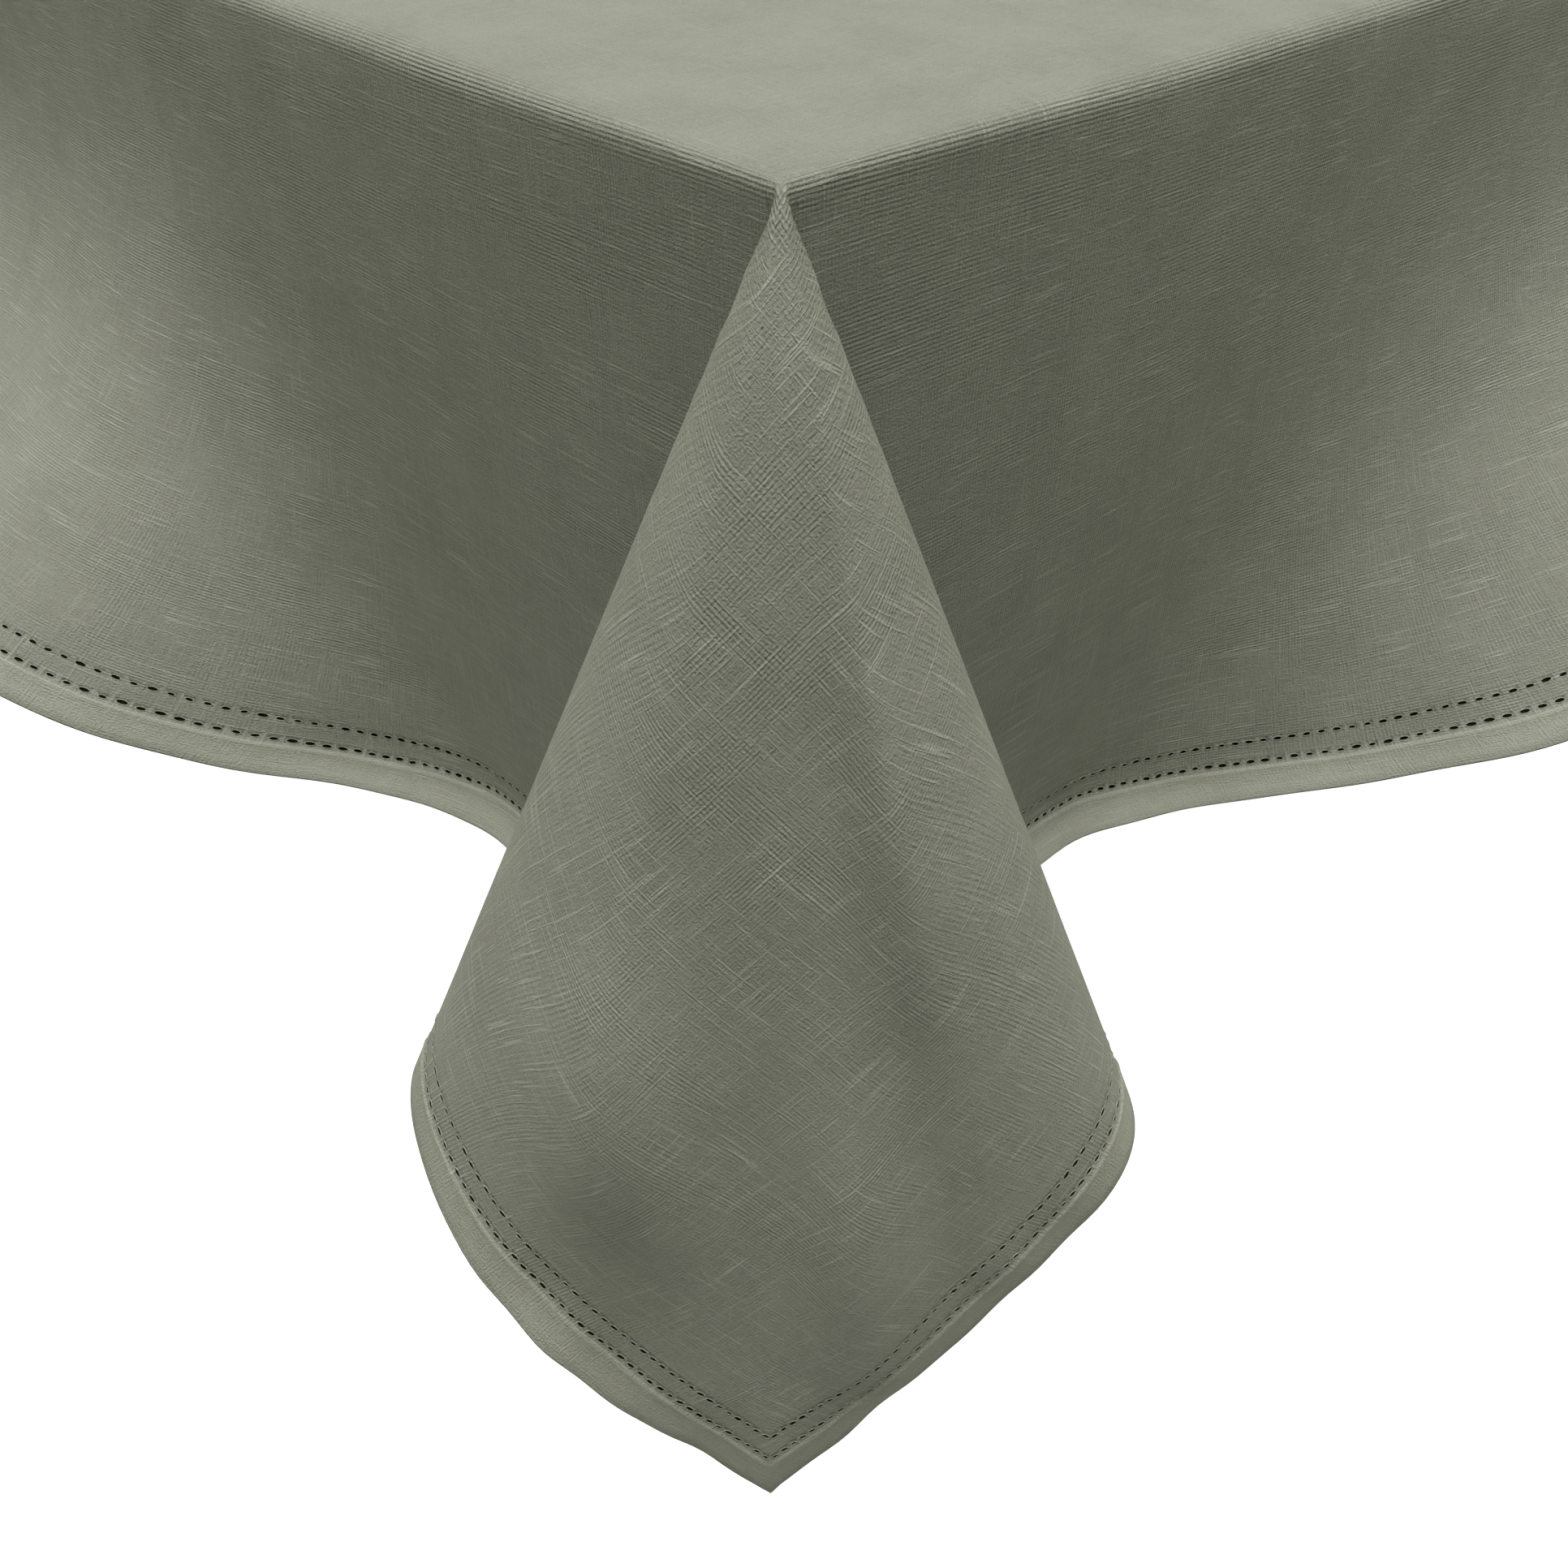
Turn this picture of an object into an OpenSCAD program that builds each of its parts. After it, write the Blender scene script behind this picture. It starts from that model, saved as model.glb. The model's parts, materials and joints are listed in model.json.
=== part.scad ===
// A dining table with a hemstitched tablecloth over it.
// +Z is up, +X runs along the table's length, and the floor is z = 0 under the middle of the table.

/* [Table] */
// Length of the table top
table_length = 1676; // [1300:1:2200]
// Width of the table top
table_width = 1168; // [1000:1:1300]
// Height of the table top's upper face above the floor
table_height = 750; // [700:1:800]
// Thickness of the table top
top_thickness = 28; // [22:1:40]
// Radius on the upper edge of the table top
top_edge_radius = 6; // [3:1:10]
// How far each leg's outer faces stand in from the table top's edge
leg_inset = 90; // [80:1:150]
// Side of the square leg at the top
leg_side = 70; // [60:1:90]
// Side of the square leg at the foot
leg_foot_side = 44; // [36:1:60]
// Depth of the aprons under the table top
apron_depth = 100; // [80:1:120]
// Thickness of the aprons
apron_thickness = 22; // [19:1:28]

/* [Tablecloth] */
// How far the cloth hangs below the table top
cloth_drop = 305; // [200:1:330]
// Thickness of the cloth's solids
cloth_thickness = 1.5; // [1:0.1:2]
// Width of the folded hem
hem_width = 16; // [12:1:25]
// Distance between the two rows of hemstitching
hemstitch_gap = 10; // [8:1:14]
// Greatest angle that the hanging cloth stands out from the vertical
flare_peak = 32; // [10:1:36]
// Angle that it stands out at the middle of a side
flare_middle = 11; // [0:1:20]

/* [Fasteners] */
// Diameter of the hanger bolts that hold the legs
bolt_d = 8; // [6:1:10]
// Shank diameter of the screws through the corner braces
screw_d = 4.5; // [4:0.5:5]
// Clips between each long apron and the table top
clips_long = 4; // [2:1:6]
// Clips between each short apron and the table top
clips_short = 2; // [2:1:4]

/* [Hidden] */
$fn = 48;

wood = "burlywood";
steel = "silver";
linen = [0.62, 0.63, 0.56];

half_l = table_length / 2;
half_w = table_width / 2;
top_bottom = table_height - top_thickness;
leg_corner_x = half_l - leg_inset;
leg_corner_y = half_w - leg_inset;
glide_height = 4;
glide_radius = 14;

apron_setback = 6;
apron_bottom = top_bottom - apron_depth;
apron_inner = apron_setback + apron_thickness;
groove_depth = 9;
groove_top = 9;
groove_height = 3;

brace_height = 60;
brace_thickness = 24;
brace_outer = 2 * leg_side + 5;
brace_inner = brace_outer + brace_thickness * sqrt(2);
brace_z = top_bottom - apron_depth / 2 - 8;
bolt_r = bolt_d / 2;
bolt_fit = 0.1;
bolt_clearance = 0.5;
bolt_embed = 40;
bolt_chamfer = 9;
washer_r = 2.2 * bolt_r;
washer_t = 1.6;
nut_t = 6;
screw_r = screw_d / 2;
screw_fit = 0.1;
screw_into_apron = 15;
screw_spacing = 34;
screw_u = (brace_outer + brace_inner) / 2 - apron_inner - 8;
screw_head_seat = 12;

clip_width = 20;
clip_t = 2;
clip_leaf = 25;
clip_screw_v = 15;
clip_screw_r = 2;
clip_screw_up = 18;

rail_thickness = 22;
rail_height = 60;
tenon_length = 10;
tenon_fit = 0.1;

cloth_gap = 0.3;
cloth_under = table_height + cloth_gap;
cloth_out = cloth_gap + cloth_thickness;
flare_start = 0.45 * cloth_drop;
flare_top = 1.5 * cloth_drop;
flare_end = 2.3 * cloth_drop;
columns = 36;
thread_d = 1.2;

// Where each corner's four values sit: [x side, y side]
corner_names = ["front_left", "front_right", "back_left", "back_right"];
corner_signs = [[-1, -1], [1, -1], [-1, 1], [1, 1]];

// ---- Placing ----

// Mirrors a shape drawn for the +X +Y corner to the corner with these signs.
module to_corner(signs) {
    mirror([signs[0] < 0 ? 1 : 0, 0, 0]) mirror([0, signs[1] < 0 ? 1 : 0, 0]) children();
}

module each_corner() {
    for (signs = corner_signs) to_corner(signs) children();
}

// Corner frame: origin at the leg's outer corner, +X and +Y both pointing in under the table.
module leg_frame() {
    translate([leg_corner_x, leg_corner_y, 0]) mirror([1, 0, 0]) mirror([0, 1, 0]) children();
}

// Lays +X along the line from the leg to the middle of the table, at the bolt's height.
module bolt_frame() {
    translate([0, 0, brace_z]) rotate([0, 0, 45]) rotate([0, 90, 0]) children();
}

// ---- Table ----

// The top is a slab whose upper edge is rounded all round.
module table_top_solid() {
    r = top_edge_radius;
    z = table_height - r;
    translate([-half_l, -half_w, top_bottom]) cube([table_length, table_width, top_thickness - r]);
    translate([-half_l + r, -half_w + r, z]) cube([table_length - 2 * r, table_width - 2 * r, r]);
    for (s = [-1, 1]) {
        edge_round(table_length - 2 * r, [0, s * (half_w - r), z], 0, s);
        edge_round(table_width - 2 * r, [s * (half_l - r), 0, z], 90, -s);
    }
    for (sx = [-1, 1], sy = [-1, 1]) translate([sx * (half_l - r), sy * (half_w - r), z]) corner_ball(r, sx, sy);
}

// A quarter round along X, turned by angle, its curve on the side that s gives.
module edge_round(length, at, angle, s) {
    r = top_edge_radius;
    translate(at) rotate([0, 0, angle]) intersection() {
        rotate([0, 90, 0]) cylinder(r = r, h = length, center = true);
        translate([-length / 2, s > 0 ? 0 : -r, 0]) cube([length, r, r]);
    }
}

module corner_ball(r, sx, sy) {
    intersection() {
        sphere(r = r);
        translate([sx > 0 ? 0 : -r, sy > 0 ? 0 : -r, 0]) cube([r, r, r]);
    }
}

module table_top() {
    color(wood) difference() {
        table_top_solid();
        each_clip() clip_screw_shank(clip_screw_r - screw_fit);
    }
}

// An apron along X whose outer face looks to +Y, before it is placed.
module apron_bar(length) {
    translate([-length / 2, -apron_inner, apron_bottom]) cube([length, apron_thickness, apron_depth]);
}

module clip_groove(length) {
    translate([-length / 2, -apron_inner, top_bottom - groove_top - groove_height])
        cube([length, groove_depth, groove_height]);
}

apron_long = 2 * (leg_corner_x - leg_side);
apron_short = 2 * (leg_corner_y - leg_side);

module long_apron() {
    difference() {
        translate([0, leg_corner_y, 0]) difference() {
            apron_bar(apron_long);
            clip_groove(apron_long);
        }
        rail_tenon(tenon_fit);
        each_corner() brace_screw_set() screw_shank(screw_r - screw_fit);
    }
}

module short_apron() {
    difference() {
        translate([leg_corner_x, 0, 0]) rotate([0, 0, -90]) difference() {
            apron_bar(apron_short);
            clip_groove(apron_short);
        }
        each_corner() brace_screw_set() screw_shank(screw_r - screw_fit);
    }
}

module apron_front() { color(wood) mirror([0, 1, 0]) long_apron(); }
module apron_back() { color(wood) long_apron(); }
module apron_left() { color(wood) mirror([1, 0, 0]) short_apron(); }
module apron_right() { color(wood) short_apron(); }

module rail_tenon(fit) {
    length = 2 * (leg_corner_y - apron_inner + tenon_length + fit);
    width = rail_thickness * 0.55 + 2 * fit;
    height = rail_height - 16 + 2 * fit;
    translate([-width / 2, -length / 2, brace_z - height / 2]) cube([width, length, height]);
}

module centre_rail() {
    length = 2 * (leg_corner_y - apron_inner);
    color(wood) union() {
        translate([-rail_thickness / 2, -length / 2, brace_z - rail_height / 2])
            cube([rail_thickness, length, rail_height]);
        rail_tenon(0);
    }
}

// One side of a leg: straight beside the apron, then tapering to the foot on its inner face.
module leg_outline() {
    taper_from = apron_bottom - 20;
    polygon([[0, glide_height], [leg_foot_side, glide_height], [leg_side, taper_from],
        [leg_side, top_bottom], [0, top_bottom]]);
}

module leg_solid() {
    leg_frame() difference() {
        intersection() {
            rotate([90, 0, 0]) translate([0, 0, -leg_side]) linear_extrude(leg_side) leg_outline();
            rotate([90, 0, 90]) linear_extrude(leg_side) leg_outline();
        }
        translate([0, 0, brace_z - brace_height / 2]) rotate([0, 0, 45])
            translate([leg_side * sqrt(2) - bolt_chamfer, -leg_side, 0]) cube([leg_side, 2 * leg_side, brace_height]);
        bolt_frame() translate([0, 0, leg_side * sqrt(2) - bolt_chamfer - bolt_embed])
            cylinder(r = bolt_r - bolt_fit, h = bolt_embed + 1);
        translate([leg_foot_side / 2, leg_foot_side / 2, 0]) glide_pin(0);
    }
}

module leg(signs) { color(wood) to_corner(signs) leg_solid(); }

// The brace lies across the corner behind the leg, its ends on the two aprons.
module brace_solid() {
    leg_frame() difference() {
        translate([0, 0, brace_z - brace_height / 2]) linear_extrude(brace_height)
            polygon([[apron_inner, brace_outer - apron_inner], [brace_outer - apron_inner, apron_inner],
                [brace_inner - apron_inner, apron_inner], [apron_inner, brace_inner - apron_inner]]);
        bolt_frame() cylinder(r = bolt_r + bolt_clearance, h = brace_inner);
    }
}

module brace(signs) {
    color(wood) to_corner(signs) difference() {
        brace_solid();
        brace_screw_set() {
            screw_shank(screw_r - screw_fit);
            screw_head_hole();
        }
    }
}

module hanger_bolt() {
    start = leg_side * sqrt(2) - bolt_chamfer - bolt_embed;
    leg_frame() bolt_frame() translate([0, 0, start])
        cylinder(r = bolt_r, h = brace_inner / sqrt(2) + washer_t + nut_t + 6 - start);
}

module hanger_bolts() { color(steel) each_corner() hanger_bolt(); }

module bolt_washers() {
    color(steel) each_corner() leg_frame() bolt_frame() translate([0, 0, brace_inner / sqrt(2)])
        difference() {
            cylinder(r = washer_r, h = washer_t);
            translate([0, 0, -1]) cylinder(r = bolt_r + bolt_fit, h = washer_t + 2);
        }
}

module wing_nut() {
    difference() {
        union() {
            cylinder(r = 1.7 * bolt_r, h = nut_t);
            for (s = [-1, 1]) translate([s * 2.3 * bolt_r - bolt_r, -1, 1]) cube([2 * bolt_r, 2, nut_t + 5]);
        }
        translate([0, 0, -1]) cylinder(r = bolt_r - bolt_fit, h = nut_t + 8);
    }
}

module wing_nuts() {
    color(steel) each_corner() leg_frame() bolt_frame()
        translate([0, 0, brace_inner / sqrt(2) + washer_t]) wing_nut();
}

// The four screws of the +X +Y corner's brace, two into each apron, drawn along -Z at the origin.
module brace_screw_set() {
    leg_frame() for (turn = [0, 1], side = [-1, 1])
        mirror([turn, -turn, 0]) translate([screw_u, apron_inner, brace_z + side * screw_spacing / 2])
            rotate([-90, 0, 0]) children();
}

module screw_shank(r) {
    translate([0, 0, -screw_into_apron]) cylinder(r = r, h = screw_into_apron + screw_head_seat);
}

module screw_head_hole() {
    translate([0, 0, screw_head_seat]) cylinder(r = 2.2 * screw_r, h = 2 * brace_thickness);
}

module brace_screws() {
    color(steel) each_corner() brace_screw_set() {
        screw_shank(screw_r);
        translate([0, 0, screw_head_seat]) cylinder(r = 1.9 * screw_r, h = 3);
    }
}

// Every clip's place: +Y points out to its apron, and the origin is on the apron's inner face.
module each_clip() {
    for (i = [1:clips_long], s = [0, 1]) mirror([0, s, 0])
        translate([(i / (clips_long + 1) - 0.5) * apron_long + rail_thickness, leg_corner_y - apron_inner, top_bottom])
            children();
    for (i = [1:clips_short], s = [0, 1]) mirror([s, 0, 0])
        translate([leg_corner_x - apron_inner, (i / (clips_short + 1) - 0.5) * apron_short, top_bottom])
            rotate([0, 0, -90]) children();
}

module clip() {
    tongue_z = -groove_top - groove_height + 0.2;
    difference() {
        translate([clip_width / 2, 0, 0]) rotate([90, 0, -90]) linear_extrude(clip_width)
            polygon([[-groove_depth + 1, tongue_z], [0.5 + clip_t, tongue_z], [0.5 + clip_t, -clip_t],
                [clip_leaf, -clip_t], [clip_leaf, 0], [0.5, 0], [0.5, tongue_z + clip_t],
                [-groove_depth + 1, tongue_z + clip_t]]);
        translate([0, -clip_screw_v, -clip_t - 1]) cylinder(r = clip_screw_r + screw_fit, h = clip_t + 2);
    }
}

module top_clips() { color(steel) each_clip() clip(); }

module clip_screw_shank(r) {
    translate([0, -clip_screw_v, -clip_t]) cylinder(r = r, h = clip_t + clip_screw_up);
}

module clip_screws() {
    color(steel) each_clip() {
        clip_screw_shank(clip_screw_r);
        translate([0, -clip_screw_v, -clip_t - 2.5]) cylinder(r = 2 * clip_screw_r, h = 2.5);
    }
}

module glide_pin(extra) {
    cylinder(r = 1.5 + extra, h = glide_height + 12);
}

module leg_glides() {
    color("dimgray") each_corner() leg_frame() translate([leg_foot_side / 2, leg_foot_side / 2, 0]) {
        cylinder(r = glide_radius, h = glide_height);
        glide_pin(0);
    }
}

// ---- Tablecloth ----

function smooth(t) = let (x = min(1, max(0, t))) x * x * (3 - 2 * x);

// How far the cloth stands out from the vertical, s along the edge from the nearer corner.
function flare(s) = flare_peak * smooth((s - flare_start) / (flare_top - flare_start))
    - (flare_peak - flare_middle) * smooth((s - flare_top) / (flare_end - flare_top));

// A strip of the hanging cloth along +X over the +Y edge, from the depth near to the depth far,
// standing lift clear of the cloth's inner face and t thick.
module strip(length, half, near, far, t, lift) {
    n = columns;
    rows = [for (i = [0:n]) let (
        x = (i / n - 0.5) * length, a = flare(length / 2 - abs(x)), s = sin(a), c = cos(a), y = half + cloth_gap + lift)
        [[x, y + near * s, cloth_under - near * c], [x, y + far * s, cloth_under - far * c],
            [x, y + far * s + t, cloth_under - far * c], [x, y + near * s + t, cloth_under - near * c]]];
    points = [for (row = rows) for (p = row) p];
    // The inner and outer faces twist, so both are cut along the same diagonal.
    sides = [for (i = [0:n - 1]) for (k = [0:3]) let (
        a = 4 * i + k, b = 4 * i + (k + 1) % 4, c = b + 4, d = a + 4)
        each (k == 2 ? [[a, d, b], [b, d, c]] : [[a, d, c], [a, c, b]])];
    polyhedron(points, concat([[0, 1, 2], [0, 2, 3]], sides, [[4 * n + 2, 4 * n + 1, 4 * n],
        [4 * n + 3, 4 * n + 2, 4 * n]]), convexity = 6);
}

module over_front(long) {
    if (long) mirror([0, 1, 0]) children();
    else rotate([0, 0, 90]) children();
}

module over_back(long) {
    if (long) children();
    else rotate([0, 0, -90]) children();
}

panel_drop = cloth_drop - hem_width;

module skirt(long) {
    strip(long ? table_length : table_width, long ? half_w : half_l, 0, panel_drop, cloth_thickness, 0);
}

module hem(long) {
    strip(long ? table_length : table_width, long ? half_w : half_l, panel_drop, cloth_drop, 2 * cloth_thickness, 0);
}

// Two rows of stitching, one at the top of the hem and one above it.
module hemstitch(long) {
    for (up = [0, hemstitch_gap])
        strip(long ? table_length : table_width, long ? half_w : half_l,
            panel_drop - up - thread_d, panel_drop - up, thread_d / 2, cloth_thickness);
}

module cloth_top() {
    color(linen) translate([-half_l - cloth_out, -half_w - cloth_out, cloth_under])
        cube([table_length + 2 * cloth_out, table_width + 2 * cloth_out, cloth_thickness]);
}

// A flat plate of cloth between corners given in order, thickened along its own normal.
module plate(corners, t) {
    n = len(corners);
    normal = cross(corners[1] - corners[0], corners[2] - corners[0]);
    shift = t * normal / norm(normal);
    polyhedron(concat(corners, [for (p = corners) p + shift]),
        concat([[for (i = [0:n - 1]) i]], [[for (i = [n - 1:-1:0]) n + i]],
            [for (i = [0:n - 1]) [i, n + i, n + (i + 1) % n, (i + 1) % n]]), convexity = 4);
}

// The corner of the cloth hangs as one folded cone: a kite-shaped face between two folds,
// and behind each fold a layer that turns back to the table's corner.
fold_along = 0.25 * cloth_drop;
fold_out = 0.32 * cloth_drop;
fold_down = 0.975 * cloth_drop;
tip_out = 0.23 * cloth_drop;
tip_down = 1.376 * cloth_drop;
back_down = 0.99 * cloth_drop;
drape_gap = 1;

module drape_solid() {
    start = cloth_out + drape_gap;
    apex = [0, 0, 0];
    fold_a = [-fold_along, fold_out, -fold_down];
    fold_b = [fold_out, -fold_along, -fold_down];
    tip = [tip_out, tip_out, -tip_down];
    back = [drape_gap, drape_gap, -back_down];
    translate([half_l + start, half_w + start, cloth_under]) {
        plate([apex, fold_a, tip], cloth_thickness);
        plate([apex, tip, fold_b], cloth_thickness);
        plate([apex, back, fold_a], cloth_thickness);
        plate([apex, fold_b, back], cloth_thickness);
    }
}

module drape(signs) { color(linen) to_corner(signs) drape_solid(); }

// ---- Nodes ----

table_top();
apron_front();
apron_back();
apron_left();
apron_right();
centre_rail();
for (i = [0:3]) {
    leg(corner_signs[i]);
    brace(corner_signs[i]);
    drape(corner_signs[i]);
}
hanger_bolts();
bolt_washers();
wing_nuts();
brace_screws();
top_clips();
clip_screws();
leg_glides();
cloth_top();
color(linen) over_front(true) skirt(true);  // skirt_front
color(linen) over_back(true) skirt(true);  // skirt_back
color(linen) over_front(false) skirt(false);  // skirt_left
color(linen) over_back(false) skirt(false);  // skirt_right
color(linen) over_front(true) hem(true);  // hem_front
color(linen) over_back(true) hem(true);  // hem_back
color(linen) over_front(false) hem(false);  // hem_left
color(linen) over_back(false) hem(false);  // hem_right
color(linen) over_front(true) hemstitch(true);  // hemstitch_front
color(linen) over_back(true) hemstitch(true);  // hemstitch_back
color(linen) over_front(false) hemstitch(false);  // hemstitch_left
color(linen) over_back(false) hemstitch(false);  // hemstitch_right
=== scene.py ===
"""A table under a hemstitched linen cloth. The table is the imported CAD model. The cloth is one sheet built
here: a flat cut piece, laid out as cells, and a rule that carries each point of it to where it hangs."""

import json
import math

import bmesh
import bpy
import numpy as np
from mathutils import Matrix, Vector


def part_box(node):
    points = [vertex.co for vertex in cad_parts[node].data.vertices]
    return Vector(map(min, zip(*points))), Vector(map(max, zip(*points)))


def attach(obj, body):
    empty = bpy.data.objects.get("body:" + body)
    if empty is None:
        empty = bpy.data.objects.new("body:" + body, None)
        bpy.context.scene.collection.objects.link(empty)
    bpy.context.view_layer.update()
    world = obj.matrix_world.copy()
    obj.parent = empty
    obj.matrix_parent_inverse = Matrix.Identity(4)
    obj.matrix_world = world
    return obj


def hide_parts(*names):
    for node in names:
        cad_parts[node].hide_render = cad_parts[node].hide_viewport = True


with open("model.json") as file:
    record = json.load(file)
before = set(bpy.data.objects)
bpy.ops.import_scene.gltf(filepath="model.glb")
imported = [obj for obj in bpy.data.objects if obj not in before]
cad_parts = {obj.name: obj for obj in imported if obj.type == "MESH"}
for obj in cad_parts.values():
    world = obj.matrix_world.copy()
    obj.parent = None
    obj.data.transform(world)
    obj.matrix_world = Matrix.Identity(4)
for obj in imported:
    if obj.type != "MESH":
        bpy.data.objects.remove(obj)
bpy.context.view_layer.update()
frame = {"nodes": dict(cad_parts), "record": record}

# ---- Sizes, in metres, from the frame ----

TABLE_X, TABLE_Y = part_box("table_top")[1][:2]  # half the table's length and width
CLOTH_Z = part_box("cloth_top")[1][2]  # the cloth's upper face on the table
CUT_LENGTH, CUT_WIDTH = 2.286, 1.778  # the cloth as cut and hemmed
BEND = 0.0075  # radius of the cloth where it turns over the table's edge
CLEAR = 0.0008  # from the table's side to the hanging cloth
HALF_X = TABLE_X + CLEAR - BEND  # where the cloth begins to bend, from the middle
HALF_Y = TABLE_Y + CLEAR - BEND
DROP = CUT_LENGTH / 2 - HALF_X  # cloth from that line to the hem, along every side
HEM = 0.0152  # width of the folded hem
ROW = 0.0048  # one step between rows of cells above the hem
PITCH = 0.0048  # one hemstitch hole to the next
HOLE_LONG, HOLE_HIGH = 0.00132, 0.00076  # half the length and height of a hole
# Each hole is a shallow closed pit lined with painted shade, standing in for the shade seen through the real,
# open hole.
HOLE_DEPTH = 0.0006
HOLE_TAPER = 0.0001  # how much narrower a hole is at its foot
HOLE_SIZES = (0.72, 1.12)  # the smallest and the largest hole, as shares of that size
HOLE_TURN, HOLE_SHIFT = 0.13, 0.00012  # how unevenly the holes are turned and placed
STITCH_ROWS = (0, 2)  # the rows of cells above the hem that hold holes
FINE_ROWS = 4  # rows of single cells above the hem
HEM_LIFT = 0.0005  # how far the folded hem stands in front of the single cloth
HEM_ROUND = 0.0006  # the depth that the hem's rounded edges take


def smooth(t):
    """An even rise from 0 at 0 to 1 at 1."""
    t = np.clip(t, 0, 1)
    return t * t * (3 - 2 * t)


def bump(t, centre, width):
    """1 at centre, falling to 0 a width away."""
    return smooth(1 - np.abs(t - centre) / width)


# ---- The hanging sides ----

BEND_AT_CORNER = 0.0020  # the bend is tighter close to the table's corners
BEND_REACH = 0.16  # how far from them that shows
APEX = BEND - BEND_AT_CORNER  # from the bend lines to the point each corner's cloth hangs from


def bend_radius(s):
    """The cloth's radius over the table's edge, s from the nearer corner."""
    return BEND_AT_CORNER + (BEND - BEND_AT_CORNER) * smooth(s / BEND_REACH)


# How a side stands out from the vertical, in degrees: the angle close to the corner, the most, and the angle
# it falls back to, then where it begins to rise and where it is at its most. Those two and RISE_END, where it
# has fallen back, are distances from the nearer corner as shares of the drop.
FULL_SIDE = (-1.0, 41.2, 10.0, 0.60, 1.43)
FLAT_SIDE = (-3.5, 42.0, 11.0, 0.555, 1.61)
RISE_END = 2.5
NEAR_REACH = 0.12  # the angle close to the corner comes in over this distance
BELL = 0.93  # how far a side hangs straight at first and stands out lower down, from 0 to 1
BELL_GAIN = 1.9  # how much more it stands out low down
BELL_FROM, BELL_OVER = 0.1, 0.75  # where that begins, and how soon it is whole, as shares of the drop
SLANT = 0.22  # how much closer to the corner it rises at the hem than at the table, as a share of the drop
HEM_ANGLE = 1.10  # the hem curls until it stands out at this angle
CURL_FROM = 0.026  # the width that curl is spread over
CURL_REACH = 0.10  # the curl comes in over this distance from the corner
CORNER_SHIFT = 0.03  # how far the threads lean towards the corner for each metre down
SHIFT_REACH = 0.3  # how far from the corner they still do
MIDDLE = 0.14  # either side of a side's middle, its two halves run smoothly into each other over this width
STEPS, CURL_STEPS = 12, 5  # straight steps down to the hem's curl, and down that
# Soft folds along a side: (length of a wave, height of it at the hem as an angle, where it starts)
WAVES = ((0.47, 0.065, 0.4), (0.29, 0.10, 2.1), (0.171, 0.09, 4.4))
FOLDS_FROM, FOLDS_OVER = 0.6, 0.9  # where they begin and how soon they are whole, as shares of the drop
LEAN = 0.5  # how far the folds lean towards the nearer corner
# The hem's own small waves: (length of a wave, share of the height, where it starts)
RIPPLES = ((0.083, 0.5, 0.3), (0.047, 0.35, 1.9), (0.031, 0.25, 5.0))
RIPPLE_HEIGHT = 0.0014
RIPPLE_REACH = 0.045  # how far above the hem's edge they reach
RIPPLE_FROM, RIPPLE_OVER = 0.02, 0.1  # where they begin from the corner, and how soon they are whole


def stand_out(s, y, along, shape):
    """Angle from the vertical at the depth y, s from the nearer corner, along the side from its middle."""
    near, peak, middle, rise_from, rise_to = shape
    place_along = s / DROP + SLANT * (y / DROP - 0.5)
    rise = smooth((place_along - rise_from) / (rise_to - rise_from))
    fall = smooth((s / DROP - rise_to) / (RISE_END - rise_to))
    near = near * smooth(s / NEAR_REACH)
    flare = np.radians(near + (peak - near) * rise - (peak - middle) * fall)
    folds = sum(h * np.sin(2 * math.pi * along / length + start) for length, h, start in WAVES)
    free = smooth((s / DROP - FOLDS_FROM) / FOLDS_OVER)
    bell = 1 - BELL + BELL_GAIN * BELL * smooth((y / DROP - BELL_FROM) / BELL_OVER)
    return flare * bell + folds * free * y / DROP


def ripple(along):
    """The hem's own small waves, from a place along it, as a height between about -1 and 1."""
    return sum(h * np.sin(2 * math.pi * along / length + start) for length, h, start in RIPPLES)


def hang(s, y, along, shape):
    """(outwards, downwards) of points of a hanging side, from the line where the cloth begins to bend."""
    radius = bend_radius(s)
    flat = BEND - radius
    last = math.pi / 2 - np.clip(stand_out(s, 0 * y, along, shape), 0, 1)
    turn = np.clip((y - flat) / radius, 0, last)
    out = np.minimum(y, flat) + radius * np.sin(turn)
    down = radius * (1 - np.cos(turn))
    bent = flat + radius * last
    curl_line = DROP - CURL_FROM
    start = bent
    for steps, end in ((STEPS, np.minimum(y, curl_line)), (CURL_STEPS, y)):
        run = np.maximum(end - start, 0)
        for i in range(steps):
            at = start + run * (i + 0.5) / steps
            angle = stand_out(s, at, along, shape)
            angle += (HEM_ANGLE - angle) * smooth((at - curl_line) / CURL_FROM) * smooth(s / CURL_REACH)
            out += np.sin(angle) * run / steps
            down += np.cos(angle) * run / steps
        start = np.maximum(start, end)
    low = smooth((y - DROP + RIPPLE_REACH) / RIPPLE_REACH) * smooth((s - RIPPLE_FROM) / RIPPLE_OVER)
    return out + RIPPLE_HEIGHT * low * ripple(along), down


# ---- The folded corners ----

# A corner hangs as a cone of straight lines from the table's corner. Seen from below, the lines' directions
# make a curve: behind the front face to a fold, round it, and over the front to the tip. A point of the curve
# is (across the corner, out from the corner), as a share of a line's length.
TIP = (0.0, 0.22)
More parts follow.
